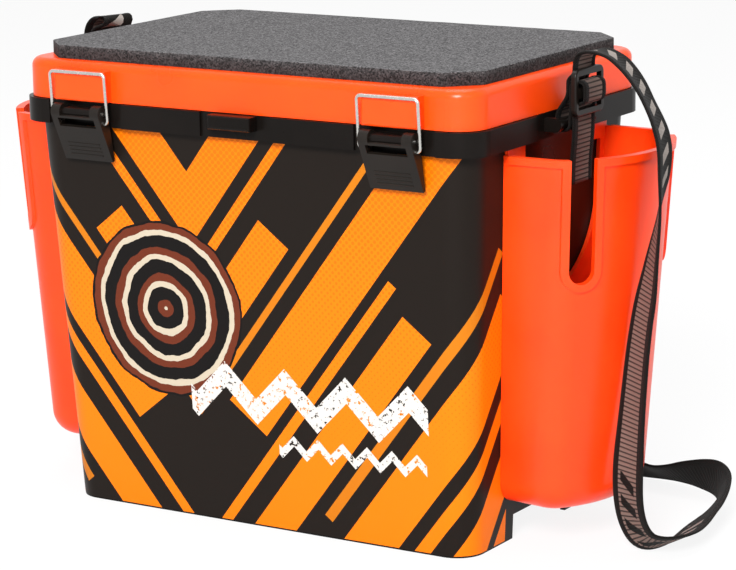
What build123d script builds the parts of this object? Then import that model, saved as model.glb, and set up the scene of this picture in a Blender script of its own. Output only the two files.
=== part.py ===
"""An ice fishing box: tub, hinged seat lid, two wire latches, two side pockets and a shoulder strap.

Millimetres. +X is the right end, -Y the latch side, +Z up, and the origin is under the middle of the base.
"""
import os
from math import cos, radians, sin, sqrt

from build123d import *

os.makedirs("parts", exist_ok=True)

# Tub: a tapered shell on an open skirt, with a turned-over collar round its mouth.
BASE_X, BASE_Y, BASE_R = 267.6, 160.0, 16.0
TOP_X, TOP_Y, TOP_R = 288.0, 188.0, 18.0
WALL = 2.5
FLOOR_Z, FLOOR_T = 18.0, 2.5
ARCH_Y, ARCH_Z = 62.0, 14.0
COLLAR_X, COLLAR_Y, COLLAR_R = 300.0, 200.0, 18.0
COLLAR_Z0, COLLAR_Z1 = 225.0, 238.7
SKIRT_T, COLLAR_TOP_T = 3.0, 2.7
TAB_W, TAB_Y, TAB_Z0, TAB_Z1 = 28.0, -107.0, 230.5, 238.5
RECESS_T, LATCH_RECESS_X, TAB_RECESS_X, STRAP_RECESS_Y = 1.5, 50.0, 46.0, 62.0
ROOT = 0.5

# Lid and seat pad.
LID_X, LID_Y, LID_R = 296.0, 196.0, 17.0
LID_Z0, LID_Z1, LID_T = 239.0, 261.0, 2.5
LIP_X, LIP_Y, LIP_R, LIP_Z = 280.4, 180.4, 14.0, 234.0
PAD_X, PAD_Y, PAD_CUT, PAD_T = 285.0, 182.0, 17.0, 7.5
LUG_W, LUG_Y, LUG_Z0, LUG_Z1 = 35.0, -105.0, 239.6, 257.0

# Lid hinges: moulded knuckles on a steel pin.
HINGE_X, HINGE_Y, HINGE_Z = 80.0, 105.0, 240.0
HINGE_R, HINGE_PIN_R = 5.0, 2.0
HINGE_W, HINGE_MID_W, HINGE_FOOT_Z = 36.0, 18.0, 228.0
RUNNING = 0.06

# Latches: a lever on a pin, carrying a wire bail.
LATCH_X = 101.5
LEVER_W, LEVER_HEAD_R, LEVER_T = 33.0, 4.6, 2.0
LEVER_FOOT_Z, LEVER_LEAN = 205.0, 25.0
CHEEK_T, CHEEK_DEPTH = 3.0, 7.0
LATCH_PIN_Y, LATCH_PIN_Z, LATCH_PIN_R = -105.4, 233.5, 1.2
KNUCKLE_W, KNUCKLE_R = 20.0, 2.8
WIRE_R = 1.0
BAIL_Y0, BAIL_Z0 = -104.2, 227.8
BAIL_Y1, BAIL_Z1 = -106.4, 256.0
BAIL_HALF = 18.8

# Side pockets.
POCKET_Z0, POCKET_Z1, POCKET_T = 23.5, 221.0, 2.5
POCKET_GAP = 0.4
POCKET_HALF_TOP, POCKET_TAPER = 58.0, 0.819
POCKET_HALF_LOW = POCKET_HALF_TOP * POCKET_TAPER
POCKET_R, POCKET_R_SLOPE, POCKET_SHARE = 75.0, 0.037, 0.7716
POCKET_IN = 11.9
BEAD_T, BEAD_W = 2.0, 4.2
SLOT_ANGLE, SLOT_W, SLOT_Z, SLOT_MID_Z, SLOT_DEPTH = 41.2, 14.4, 153.0, 190.0, 46.0
WINDOW_R, WINDOW_Z = 50.0, 186.0
SCREW_Y, SCREW_Z = 24.0, 70.0
SCREW_R, SCREW_HEAD_R, SCREW_HEAD_T = 2.0, 4.5, 3.0
SCREW_IN, BOSS_IN, BOSS_R, SEAT_OUT, SEAT_R = 9.0, 11.0, 5.0, 5.5, 7.0
POCKET_EAR_T, POCKET_EAR_W, POCKET_EAR_RISE = 2.0, 19.0, 6.0

# Strap, its bars on the collar, and its buckles.
BAR_X, BAR_Z, BAR_R = 155.1, 232.5, 3.0
EAR_Y, EAR_T, EAR_R = 17.0, 3.5, 3.8
BUCKLE_X, BUCKLE_Z = 164.2, 249.6
BUCKLE_W, BUCKLE_H, BUCKLE_T = 33.0, 25.5, 3.0
BUCKLE_SLOT_Z, BUCKLE_SLOT_W, BUCKLE_SLOT_H = 6.0, 26.4, 6.5
WEB_W, WEB_T, WEB_GAP = 25.0, 1.6, 0.3
TAIL_X, TAIL_Z, BULGE = 160.5, 199.0, 2.0


def at(z):
    """A level plane at height z."""
    return Plane.XY.offset(z)


def tub_size(z, inset):
    """The tub's length, width and corner radius at height z, drawn in by an inset."""
    share = min(z / COLLAR_Z0, 1.0)
    length = BASE_X + (TOP_X - BASE_X) * share - 2 * inset
    width = BASE_Y + (TOP_Y - BASE_Y) * share - 2 * inset
    corner = BASE_R + (TOP_R - BASE_R) * share - inset
    return length, width, corner


def block(x0, x1, y0, y1, z0, z1, mode=Mode.ADD):
    """A box between two corners."""
    with Locations(((x0 + x1) / 2, (y0 + y1) / 2, (z0 + z1) / 2)):
        Box(x1 - x0, y1 - y0, z1 - z0, mode=mode)


def rod_x(x0, x1, y, z, radius, mode=Mode.ADD):
    """A round bar along X."""
    with Locations(Location(((x0 + x1) / 2, y, z), (0, 90, 0))):
        Cylinder(radius, x1 - x0, mode=mode)


def rod_y(y0, y1, x, z, radius, mode=Mode.ADD):
    """A round bar along Y."""
    with Locations(Location((x, (y0 + y1) / 2, z), (90, 0, 0))):
        Cylinder(radius, y1 - y0, mode=mode)


def save(builder, name):
    """Labels a sub-part and writes it."""
    builder.part.label = name
    export_step(builder.part, f"parts/{name}.step")


# Where a pocket screw passes the short wall, measured from the middle of the tub.
screw_wall = tub_size(SCREW_Z, 0)[0] / 2

# The space inside the tub, rounded where the walls meet the floor.
with BuildPart() as tub_space:
    with BuildSketch(at(FLOOR_Z)):
        RectangleRounded(*tub_size(FLOOR_Z, WALL))
    with BuildSketch(at(COLLAR_Z0)):
        RectangleRounded(*tub_size(COLLAR_Z0, WALL))
    loft()
    fillet(tub_space.faces().sort_by(Axis.Z)[0].edges(), 7)
    with BuildSketch(at(COLLAR_Z0)):
        RectangleRounded(*tub_size(COLLAR_Z0, WALL))
    extrude(amount=COLLAR_Z1 - COLLAR_Z0 + 1)

with BuildPart() as body_tub:
    with BuildSketch(at(0)):
        RectangleRounded(*tub_size(0, 0))
    with BuildSketch(at(COLLAR_Z0)):
        RectangleRounded(*tub_size(COLLAR_Z0, 0))
    loft()
    # Collar, open below behind its skirt.
    with BuildSketch(at(COLLAR_Z0)):
        RectangleRounded(COLLAR_X, COLLAR_Y, COLLAR_R)
    extrude(amount=COLLAR_Z1 - COLLAR_Z0)
    with BuildSketch(at(COLLAR_Z0)):
        RectangleRounded(COLLAR_X - 2 * SKIRT_T, COLLAR_Y - 2 * SKIRT_T, COLLAR_R - SKIRT_T)
        RectangleRounded(TOP_X, TOP_Y, TOP_R, mode=Mode.SUBTRACT)
    extrude(amount=COLLAR_Z1 - COLLAR_Z0 - COLLAR_TOP_T, mode=Mode.SUBTRACT)
    # Shallow recesses in the collar's outer face: latches, front tab and strap bars.
    front, end = -COLLAR_Y / 2 + RECESS_T, COLLAR_X / 2 - RECESS_T
    low, high = COLLAR_Z0 - 1, COLLAR_Z1 + 1
    for centre, wide in ((-LATCH_X, LATCH_RECESS_X), (0, TAB_RECESS_X), (LATCH_X, LATCH_RECESS_X)):
        block(centre - wide / 2, centre + wide / 2, front - RECESS_T - 1, front, low, high, Mode.SUBTRACT)
    for side in (-1, 1):
        near, far = sorted((side * end, side * (end + RECESS_T + 1)))
        block(near, far, -STRAP_RECESS_Y / 2, STRAP_RECESS_Y / 2, low, high, Mode.SUBTRACT)
    with BuildPart(mode=Mode.PRIVATE) as tab:
        block(-TAB_W / 2, TAB_W / 2, TAB_Y, front + ROOT, TAB_Z0, TAB_Z1)
        fillet(tab.faces().sort_by(Axis.Y)[0].edges(), 2)
    add(tab.part)
    # Strap bar on each short side, between two ears.
    for side in (-1, 1):
        low, high = sorted((side * (end - ROOT), side * BAR_X))
        for ear in (-EAR_Y - EAR_T / 2, EAR_Y + EAR_T / 2):
            block(low, high, ear - EAR_T / 2, ear + EAR_T / 2, BAR_Z - EAR_R, BAR_Z + EAR_R)
            rod_y(ear - EAR_T / 2, ear + EAR_T / 2, side * BAR_X, BAR_Z, EAR_R)
        rod_y(-EAR_Y, EAR_Y, side * BAR_X, BAR_Z, BAR_R)
    # Latch knuckles.
    for centre in (-LATCH_X, LATCH_X):
        low, high = centre - KNUCKLE_W / 2, centre + KNUCKLE_W / 2
        block(low, high, LATCH_PIN_Y, front + ROOT, LATCH_PIN_Z - KNUCKLE_R, LATCH_PIN_Z + KNUCKLE_R)
        rod_x(low, high, LATCH_PIN_Y, LATCH_PIN_Z, KNUCKLE_R)
        rod_x(low - 1, high + 1, LATCH_PIN_Y, LATCH_PIN_Z, LATCH_PIN_R + RUNNING, Mode.SUBTRACT)
    # Outer hinge knuckles, held from below so that the lid swings clear.
    for centre in (-HINGE_X, HINGE_X):
        for low, high in ((-HINGE_W / 2, -HINGE_MID_W / 2 - 0.4), (HINGE_MID_W / 2 + 0.4, HINGE_W / 2)):
            rear = COLLAR_Y / 2 - SKIRT_T + 1
            block(centre + low, centre + high, rear, HINGE_Y + 3, HINGE_FOOT_Z, COLLAR_Z1 - 0.2)
            rod_x(centre + low, centre + high, HINGE_Y, HINGE_Z, HINGE_R)
        low, high = centre - HINGE_W / 2 - 2, centre + HINGE_W / 2 + 2
        rod_x(low, high, HINGE_Y, HINGE_Z, HINGE_PIN_R + RUNNING, Mode.SUBTRACT)
    # Space inside, open skirt below the floor, and an arch through both short sides of the skirt.
    add(tub_space.part, mode=Mode.SUBTRACT)
    with BuildSketch(at(0)):
        RectangleRounded(*tub_size(0, 3))
    with BuildSketch(at(FLOOR_Z - FLOOR_T)):
        RectangleRounded(*tub_size(FLOOR_Z - FLOOR_T, 3))
    loft(mode=Mode.SUBTRACT)
    block(-200, 200, -ARCH_Y / 2, ARCH_Y / 2, -1, ARCH_Z, Mode.SUBTRACT)
    # Blind bosses inside the short walls for the pocket screws.
    for side in (-1, 1):
        for y in (-SCREW_Y, SCREW_Y):
            low, high = sorted((side * (screw_wall - BOSS_IN), side * (screw_wall - 1)))
            rod_x(low, high, y, SCREW_Z, BOSS_R)
            low, high = sorted((side * (screw_wall - SCREW_IN - 1), side * (screw_wall + 3)))
            rod_x(low, high, y, SCREW_Z, SCREW_R + 0.05, Mode.SUBTRACT)
save(body_tub, "body_tub")

with BuildPart() as lid_shell:
    with BuildSketch(at(LID_Z0)):
        RectangleRounded(LID_X, LID_Y, LID_R)
    extrude(amount=LID_Z1 - LID_Z0)
    fillet(lid_shell.faces().sort_by(Axis.Z)[-1].edges(), 5)
    with BuildSketch(at(LID_Z0)):
        RectangleRounded(LID_X - 2 * LID_T, LID_Y - 2 * LID_T, LID_R - LID_T)
    extrude(amount=LID_Z1 - LID_Z0 - LID_T, mode=Mode.SUBTRACT)
    # Locating lip inside the tub's mouth, on an inward ledge.
    with BuildSketch(at(LID_Z0)):
        RectangleRounded(LID_X - 3, LID_Y - 3, LID_R - 1.5)
        RectangleRounded(LIP_X - 4, LIP_Y - 4, LIP_R - 2, mode=Mode.SUBTRACT)
    extrude(amount=2)
    with BuildSketch(at(LIP_Z)):
        RectangleRounded(LIP_X, LIP_Y, LIP_R)
        RectangleRounded(LIP_X - 4, LIP_Y - 4, LIP_R - 2, mode=Mode.SUBTRACT)
    extrude(amount=LID_Z0 - LIP_Z + 1)
    # Raised lugs that the bails pull on.
    for centre in (-LATCH_X, LATCH_X):
        with BuildPart(mode=Mode.PRIVATE) as lug:
            block(centre - LUG_W / 2, centre + LUG_W / 2, LUG_Y, -96.5, LUG_Z0, LUG_Z1)
            fillet(lug.faces().sort_by(Axis.Y)[0].edges(), 1.5)
        add(lug.part)
    # Middle hinge knuckles.
    for centre in (-HINGE_X, HINGE_X):
        low, high = centre - HINGE_MID_W / 2, centre + HINGE_MID_W / 2
        block(low, high, 96.5, HINGE_Y, HINGE_Z, HINGE_Z + HINGE_R)
        rod_x(low, high, HINGE_Y, HINGE_Z, HINGE_R)
        rod_x(low - 1, high + 1, HINGE_Y, HINGE_Z, HINGE_PIN_R + RUNNING, Mode.SUBTRACT)
save(lid_shell, "lid_shell")

with BuildPart() as seat_pad:
    with BuildSketch(at(LID_Z1)) as pad_plan:
        Rectangle(PAD_X, PAD_Y)
        chamfer(pad_plan.vertices(), PAD_CUT)
        fillet(pad_plan.vertices(), 4)
    extrude(amount=PAD_T)
    fillet(seat_pad.faces().sort_by(Axis.Z)[-1].edges(), 0.6)
save(seat_pad, "seat_pad")

for name, centre in (("hinge_pin_left", -HINGE_X), ("hinge_pin_right", HINGE_X)):
    with BuildPart() as hinge_pin:
        rod_x(centre - HINGE_W / 2 - 0.5, centre + HINGE_W / 2 + 0.5, HINGE_Y, HINGE_Z, HINGE_PIN_R)
    save(hinge_pin, name)

for name, centre in (("latch_pin_left", -LATCH_X), ("latch_pin_right", LATCH_X)):
    with BuildPart() as latch_pin:
        rod_x(centre - LEVER_W / 2 - 0.5, centre + LEVER_W / 2 + 0.5, LATCH_PIN_Y, LATCH_PIN_Z, LATCH_PIN_R)
    save(latch_pin, name)

# The lever's face is a plane that leans in below the pin. "down" runs along it and "out" leaves it.
down_y, down_z = sin(radians(LEVER_LEAN)), -cos(radians(LEVER_LEAN))
out_y, out_z = -cos(radians(LEVER_LEAN)), -sin(radians(LEVER_LEAN))
face_y = LATCH_PIN_Y + LEVER_HEAD_R * out_y
face_z = LATCH_PIN_Z + LEVER_HEAD_R * out_z
lever_length = (face_z - LEVER_FOOT_Z) / -down_z


def lever_point(along, behind):
    """A point of the lever's side view: a distance down its face and one behind it."""
    return face_y + along * down_y - behind * out_y, face_z + along * down_z - behind * out_z


def lever_side(points, x0, x1):
    """A side view of the lever, extruded across from x0 to x1."""
    with BuildSketch(Plane.YZ.offset(x0)) as view:
        Polygon(*[lever_point(*p) for p in points], align=None)
    extrude(view.sketch, amount=x1 - x0)


for name, centre in (("latch_lever_left", -LATCH_X), ("latch_lever_right", LATCH_X)):
    left, right = centre - LEVER_W / 2, centre + LEVER_W / 2
    with BuildPart() as latch_lever:
        long = lever_length
        lever_side([(0, 0), (long, 0), (long, LEVER_T), (0, LEVER_T)], left, right)
        cheek_face = [(0, 0), (long, 0), (long, LEVER_T)]
        cheek_back = [(long - 12, LEVER_T + 3), (9, CHEEK_DEPTH), (0, CHEEK_DEPTH)]
        for low, high in ((left, left + CHEEK_T), (right - CHEEK_T, right)):
            lever_side(cheek_face + cheek_back, low, high)
        gap = KNUCKLE_W / 2 + 0.4
        rod_x(left, centre - gap, LATCH_PIN_Y, LATCH_PIN_Z, LEVER_HEAD_R)
        rod_x(centre + gap, right, LATCH_PIN_Y, LATCH_PIN_Z, LEVER_HEAD_R)
        rod_x(centre - gap, centre + gap, LATCH_PIN_Y, LATCH_PIN_Z, KNUCKLE_R + 0.5, Mode.SUBTRACT)
        # Slot under the head, and finger ridges near the foot.
        with BuildPart(mode=Mode.SUBTRACT):
            deep = LEVER_T + 1
            lever_side([(1.5, -1), (7, -1), (7, deep), (1.5, deep)], centre - 12.5, centre + 12.5)
        for along in (18, 20.5, 23, 25.5):
            y, z = lever_point(along, 0.1)
            rod_x(centre - 11, centre + 11, y, z, 0.5)
        rod_x(left - 1, right + 1, LATCH_PIN_Y, LATCH_PIN_Z, LATCH_PIN_R + RUNNING, Mode.SUBTRACT)
        rod_x(left - 1, right + 1, BAIL_Y0, BAIL_Z0, WIRE_R + RUNNING, Mode.SUBTRACT)
    save(latch_lever, name)

bail_rise = sqrt((BAIL_Y1 - BAIL_Y0) ** 2 + (BAIL_Z1 - BAIL_Z0) ** 2)
bail_normal = (0, (BAIL_Z0 - BAIL_Z1) / bail_rise, (BAIL_Y1 - BAIL_Y0) / bail_rise)
for name, centre in (("latch_bail_left", -LATCH_X), ("latch_bail_right", LATCH_X)):
    bail_plane = Plane(origin=(centre, BAIL_Y0, BAIL_Z0), x_dir=(1, 0, 0), z_dir=bail_normal)
    tip = LEVER_W / 2 - CHEEK_T + 0.4
    with BuildPart() as latch_bail:
        with BuildLine(bail_plane) as wire:
            FilletPolyline(
                (-tip, 0), (-BAIL_HALF, 0), (-BAIL_HALF, bail_rise),
                (BAIL_HALF, bail_rise), (BAIL_HALF, 0), (tip, 0), radius=2.4,
            )
        with BuildSketch(Plane(origin=wire.line @ 0, z_dir=wire.line % 0)):
            Circle(WIRE_R)
        sweep()
    save(latch_bail, name)


def pocket_half(z):
    """Half the pocket's width at the tub's wall, at height z."""
    return POCKET_HALF_TOP - (POCKET_HALF_TOP - POCKET_HALF_LOW) * (POCKET_Z1 - z) / (POCKET_Z1 - POCKET_Z0)


def pocket_level(z, grow, back, corner):
    """The right pocket's plan at height z: straight sides that close in to a bulging outer wall."""
    wall = tub_size(z, 0)[0] / 2 + POCKET_GAP
    radius = POCKET_R - POCKET_R_SLOPE * (POCKET_Z1 - z) + grow
    middle = wall - POCKET_IN
    half = pocket_half(z) + grow
    end_y = POCKET_SHARE * radius
    end_x = middle + sqrt(radius**2 - end_y**2)
    with BuildSketch(at(z)) as plan:
        with BuildLine():
            Line((wall + back, -half), (end_x, -end_y))
            ThreePointArc((end_x, -end_y), (middle + radius, 0), (end_x, end_y))
            Line((end_x, end_y), (wall + back, half))
            Line((wall + back, half), (wall + back, -half))
        make_face()
        fillet(plan.vertices().sort_by(Axis.X)[-2:], corner)
    return plan.sketch


def pocket_solid(z0, z1, grow, back, corner, foot):
    """A pocket-shaped solid with rounded corners and foot."""
    with BuildPart() as solid:
        loft([pocket_level(z0, grow, back, corner), pocket_level(z1, grow, back, corner)], ruled=True)
        floor_edges = solid.faces().sort_by(Axis.Z)[0].edges().sort_by(Axis.X)
        fillet(floor_edges[1:], foot)
    return solid.part


def slot_shape(angle, width, top):
    """A round-bottomed upright slot, pushed through the pocket's outer wall at an angle from +X."""
    middle = tub_size(SLOT_MID_Z, 0)[0] / 2 + POCKET_GAP - POCKET_IN
    outward = (cos(radians(angle)), sin(radians(angle)), 0)
    across = (-sin(radians(angle)), cos(radians(angle)), 0)
    inside = POCKET_R - SLOT_DEPTH / 2
    start = (middle + inside * outward[0], inside * outward[1], SLOT_Z + SLOT_W / 2)
    with BuildPart() as shape:
        with BuildSketch(Plane(origin=start, x_dir=across, z_dir=outward)):
            Circle(width / 2)
            with Locations((0, (top - start[2]) / 2)):
                Rectangle(width, top - start[2])
        extrude(amount=SLOT_DEPTH)
    return shape.part


# Raised bead along the pocket's rim and round each slot.
with BuildPart() as bands:
    reach = POCKET_R + 2 * BEAD_W
    block(TOP_X / 2 + BEAD_W, TOP_X / 2 + reach, -reach, reach, POCKET_Z1 - BEAD_W, POCKET_Z1)
    for angle in (-SLOT_ANGLE, SLOT_ANGLE):
        add(slot_shape(angle, SLOT_W + 2 * BEAD_W, POCKET_Z1))

with BuildPart() as bead:
    add(pocket_solid(POCKET_Z0, POCKET_Z1, BEAD_T, 0, 22, 15))
    add(bands.part, mode=Mode.INTERSECT)

with BuildPart() as pocket_right:
    add(pocket_solid(POCKET_Z0, POCKET_Z1, 0, 0, 20, 15))
    add(bead.part)
    inside = pocket_solid(POCKET_Z0 + POCKET_T, POCKET_Z1 + 10, -POCKET_T, POCKET_T, 17.5, 12.5)
    add(inside, mode=Mode.SUBTRACT)
    for angle in (-SLOT_ANGLE, SLOT_ANGLE):
        add(slot_shape(angle, SLOT_W, POCKET_Z1 + 10), mode=Mode.SUBTRACT)
    # The upper back is cut away in a U, so the tub's wall closes the pocket there.
    low, high = WINDOW_Z - WINDOW_R, POCKET_Z1 + 10
    narrow, wide = pocket_half(low) - POCKET_T, pocket_half(high) - POCKET_T
    with BuildSketch(Plane.YZ.offset(BASE_X / 2 - 4)):
        with Locations((0, WINDOW_Z)):
            Circle(WINDOW_R)
        with Locations((0, WINDOW_Z + WINDOW_R / 2)):
            Rectangle(2 * WINDOW_R, WINDOW_R)
        Polygon((-narrow, low), (narrow, low), (wide, high), (-wide, high), align=None, mode=Mode.INTERSECT)
    extrude(amount=(TOP_X - BASE_X) / 2 + 4 + 2 * POCKET_T, mode=Mode.SUBTRACT)
    # Ears that reach up behind the collar, one on each side wall.
    ear_x = TOP_X / 2 + POCKET_GAP + 0.1
    outer = POCKET_HALF_TOP - 1
    for low, high in ((-outer, POCKET_EAR_W - outer), (outer - POCKET_EAR_W, outer)):
        low_z, high_z = POCKET_Z1 - POCKET_EAR_RISE, COLLAR_Z0 + POCKET_EAR_RISE
        block(ear_x, ear_x + POCKET_EAR_T, low, high, low_z, high_z)
    # Flat seats for the screws.
    for y in (-SCREW_Y, SCREW_Y):
        rod_x(screw_wall + POCKET_GAP + POCKET_T / 2, screw_wall + SEAT_OUT, y, SCREW_Z, SEAT_R)
        rod_x(screw_wall - 1, screw_wall + SEAT_OUT + 1, y, SCREW_Z, SCREW_R + 0.3, Mode.SUBTRACT)
save(pocket_right, "pocket_right")

with BuildPart() as pocket_left:
    add(mirror(pocket_right.part, about=Plane.YZ, mode=Mode.PRIVATE))
save(pocket_left, "pocket_left")

with BuildPart() as screws_right:
    for y in (-SCREW_Y, SCREW_Y):
        seat = screw_wall + SEAT_OUT
        rod_x(screw_wall - SCREW_IN, seat + ROOT, y, SCREW_Z, SCREW_R)
        rod_x(seat, seat + SCREW_HEAD_T, y, SCREW_Z, SCREW_HEAD_R)
        low, high = SCREW_Z - SCREW_HEAD_R + 1, SCREW_Z + SCREW_HEAD_R - 1
        block(seat + 1.8, seat + SCREW_HEAD_T + 1, y - 0.6, y + 0.6, low, high, Mode.SUBTRACT)
save(screws_right, "pocket_screws_right")

with BuildPart() as screws_left:
    add(mirror(screws_right.part, about=Plane.YZ, mode=Mode.PRIVATE))
save(screws_left, "pocket_screws_left")

with BuildPart() as buckle_right:
    with Locations((BUCKLE_X, 0, BUCKLE_Z)):
        Box(BUCKLE_T, BUCKLE_W, BUCKLE_H)
    fillet(buckle_right.edges().filter_by(Axis.X), 4)
    fillet(buckle_right.faces().sort_by(Axis.X)[-1].edges(), 0.9)
    half_y, half_z = BUCKLE_SLOT_W / 2, BUCKLE_SLOT_H / 2
    for z in (BUCKLE_Z - BUCKLE_SLOT_Z, BUCKLE_Z + BUCKLE_SLOT_Z):
        near, far = BUCKLE_X - BUCKLE_T, BUCKLE_X + BUCKLE_T
        block(near, far, -half_y, half_y, z - half_z, z + half_z, Mode.SUBTRACT)
save(buckle_right, "buckle_right")

with BuildPart() as buckle_left:
    add(mirror(buckle_right.part, about=Plane.YZ, mode=Mode.PRIVATE))
save(buckle_left, "buckle_left")

# Each end of the strap, seen from the front: its tail hangs outside and goes up behind the buckle's lower
# bar, out over the middle bar, in through the upper slot, down round the strap bar and up behind the rest.
loop_r = BAR_R + 0.2 + WEB_T / 2
slot_low, slot_high = BUCKLE_Z - BUCKLE_SLOT_Z, BUCKLE_Z + BUCKLE_SLOT_Z
back_x = BUCKLE_X - BUCKLE_T / 2 - 0.1 - WEB_T / 2
inner_x = back_x - WEB_T - WEB_GAP
main_x = inner_x - WEB_T - WEB_GAP
front_x = BUCKLE_X + BUCKLE_T / 2 + WEB_T / 2 + BULGE
end_z = BUCKLE_Z + BUCKLE_H / 2 + 0.6
bend_r = WEB_T + 0.6
with BuildPart() as strap_end_right:
    with BuildSketch(Plane.XZ):
        with BuildLine() as thread:
            FilletPolyline(
                (TAIL_X, TAIL_Z), (TAIL_X, BAR_Z - 18.5), (back_x + 0.5, BAR_Z - 3.5), (back_x, BAR_Z + 2.9),
                (back_x, slot_low), (front_x, slot_low), (front_x, slot_high), (inner_x, slot_high),
                (inner_x, BAR_Z + loop_r), (BAR_X + loop_r, BAR_Z), radius=bend_r,
            )
            CenterArc((BAR_X, BAR_Z), loop_r, 0, -180)
            FilletPolyline(
                (BAR_X - loop_r, BAR_Z), (BAR_X - loop_r, BAR_Z + 5.5), (main_x, BUCKLE_Z - 2.6),
                (main_x, slot_high + 1.2), (back_x, slot_high + 4.6), (back_x, end_z), radius=bend_r,
            )
        trace(thread.line, WEB_T)
    extrude(amount=WEB_W / 2, both=True)
save(strap_end_right, "strap_end_right")

with BuildPart() as strap_end_left:
    add(mirror(strap_end_right.part, about=Plane.YZ, mode=Mode.PRIVATE))
save(strap_end_left, "strap_end_left")

# The rest of the strap: points along its middle line, each with the direction across the webbing there.
route = [
    ((back_x, 0, end_z + 0.5), (0, 1, 0)),
    ((back_x + 0.5, 0, end_z + 4.5), (0, 1, 0)),
    ((165.5, 0, 270.6), (0.03, 1, -0.02)),
    ((170.5, 0, 271.4), (0.07, 1, -0.05)),
    ((177, -0.5, 270.4), (0.05, 0.99, -0.1)),
    ((183.5, -1, 267.7), (0.04, 0.98, -0.17)),
    ((194.4, -3, 258.8), (0, 0.97, -0.26)),
    ((202.5, -6, 249.1), (-0.05, 0.93, -0.35)),
    ((208.5, -8.5, 241.5), (-0.05, 0.94, -0.33)),
    ((213.3, -11, 234), (-0.05, 0.95, -0.32)),
    ((217.4, -14, 222.9), (-0.14, 0.96, -0.23)),
    ((218.3, -16, 210.8), (-0.21, 0.96, -0.16)),
    ((217.9, -17.5, 202), (-0.33, 0.93, -0.13)),
    ((217.6, -18.5, 194.3), (-0.43, 0.9, -0.08)),
    ((216.9, -19, 185), (-0.48, 0.88, 0)),
    ((214.6, -20, 169.8), (-0.59, 0.8, 0.04)),
    ((212.4, -21, 153.4), (-0.71, 0.7, 0.04)),
    ((210.9, -22, 142.5), (-0.77, 0.63, 0.05)),
    ((209.3, -23, 131.5), (-0.79, 0.62, 0.06)),
    ((207.5, -24, 114.9), (-0.81, 0.58, 0.04)),
    ((206.3, -25, 98.4), (-0.84, 0.55, 0.01)),
    ((205.3, -26, 81.8), (-0.86, 0.52, 0.02)),
    ((204.4, -27, 65.1), (-0.89, 0.46, 0.01)),
    ((203.7, -28, 48.4), (-0.92, 0.39, 0)),
    ((204.2, -28.5, 31.6), (-0.91, 0.4, -0.1)),
    ((206.8, -27.5, 19), (-0.88, 0.41, -0.23)),
    ((211.3, -25, 9.8), (-0.8, 0.43, -0.4)),
    ((217.6, -21, 7), (-0.78, 0.4, -0.48)),
    ((222.4, -13, 6.6), (-0.85, 0.22, -0.47)),
    ((224.2, -3, 6.4), (-0.88, 0.05, -0.45)),
    ((223.4, 10, 6.6), (-0.87, -0.08, -0.48)),
    ((221, 25, 7.4), (-0.84, -0.07, -0.54)),
    ((219.5, 39.7, 8.4), (-0.8, -0.03, -0.6)),
    ((217.5, 56, 10.2), (-0.64, -0.11, -0.76)),
    ((213, 73, 12), (-0.4, -0.05, -0.9)),
    ((205.6, 85.8, 12.9), (-0.09, 0.02, -1)),
    ((194, 94.8, 12.2), (0.1, 0.4, -0.91)),
    ((181.5, 98.2, 11), (0, 0.64, -0.77)),
    ((169, 100, 9.2), (0, 0.82, -0.57)),
    ((156, 102, 8.2), (0.05, 0.86, -0.5)),
    ((138, 106, 10.6), (0, 0.6, -0.8)),
    ((100, 111, 12.6), (0, 0.3, -0.95)),
    ((50, 114, 12.8), (0, 0.2, -0.98)),
    ((-30, 115, 12.8), (0, 0.2, -0.98)),
    ((-90, 114, 13), (0, 0.2, -0.98)),
    ((-130, 112, 18), (-0.3, 0.6, -0.7)),
    ((-161, 107, 42), (-0.3, 0.94, -0.05)),
    ((-182, 97, 84), (-0.1, 0.98, 0.1)),
    ((-199, 84, 135), (0.1, 0.95, 0.28)),
    ((-207, 69, 178), (0.2, 0.92, 0.35)),
    ((-207, 51, 213), (0.28, 0.88, 0.38)),
    ((-198, 34.5, 236), (0.38, 0.84, 0.38)),
    ((-185, 19, 251), (0.4, 0.88, 0.25)),
    ((-175.5, 10.5, 261.5), (0.4, 0.9, 0.15)),
    ((-169.5, 5.8, 268.6), (0.38, 0.92, 0.08)),
    ((-165.5, 3.4, 271.6), (0.36, 0.93, 0.03)),
    ((-161.5, 1.6, 272.4), (0.34, 0.94, 0)),
    ((-158.6, 0.6, 271), (0.28, 0.96, 0)),
    ((-158.4, 0.2, 268.6), (0.2, 0.98, 0)),
    ((-160.4, 0.1, 266.4), (0.1, 1, 0)),
    ((-back_x, 0, end_z + 0.6), (0, 1, 0)),
]


def smooth(route, step):
    """The route again as a rounded line: (point, across) pairs about a step apart."""
    points = [Vector(*p) for p, _ in route]
    widths = [Vector(*w).normalized() for _, w in route]
    line = []
    for i in range(len(points) - 1):
        before, here = points[max(i - 1, 0)], points[i]
        there, after = points[i + 1], points[min(i + 2, len(points) - 1)]
        count = max(1, round((there - here).length / step))
        for k in range(count):
            t = k / count
            pull = (there - before) * (t - 2 * t**2 + t**3) * 0.5 + (after - here) * (t**3 - t**2) * 0.5
            spot = here * (1 - 3 * t**2 + 2 * t**3) + there * (3 * t**2 - 2 * t**3) + pull
            line.append((spot, widths[i] * (1 - t) + widths[i + 1] * t))
    line.append((points[-1], widths[-1]))
    return line


sections = []
stations = smooth(route, 9)
for i, (spot, width) in enumerate(stations):
    ahead = (stations[min(i + 1, len(stations) - 1)][0] - stations[max(i - 1, 0)][0]).normalized()
    width = (width - ahead * width.dot(ahead)).normalized()
    reach = WEB_W / 2 * abs(width.Z) + WEB_T / 2 * abs(ahead.cross(width).Z)
    spot = Vector(spot.X, spot.Y, max(spot.Z, reach + 0.3))
    with BuildSketch(Plane(origin=spot, x_dir=width, z_dir=ahead)) as section:
        Rectangle(WEB_W, WEB_T)
    sections.append(section.sketch)

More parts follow.
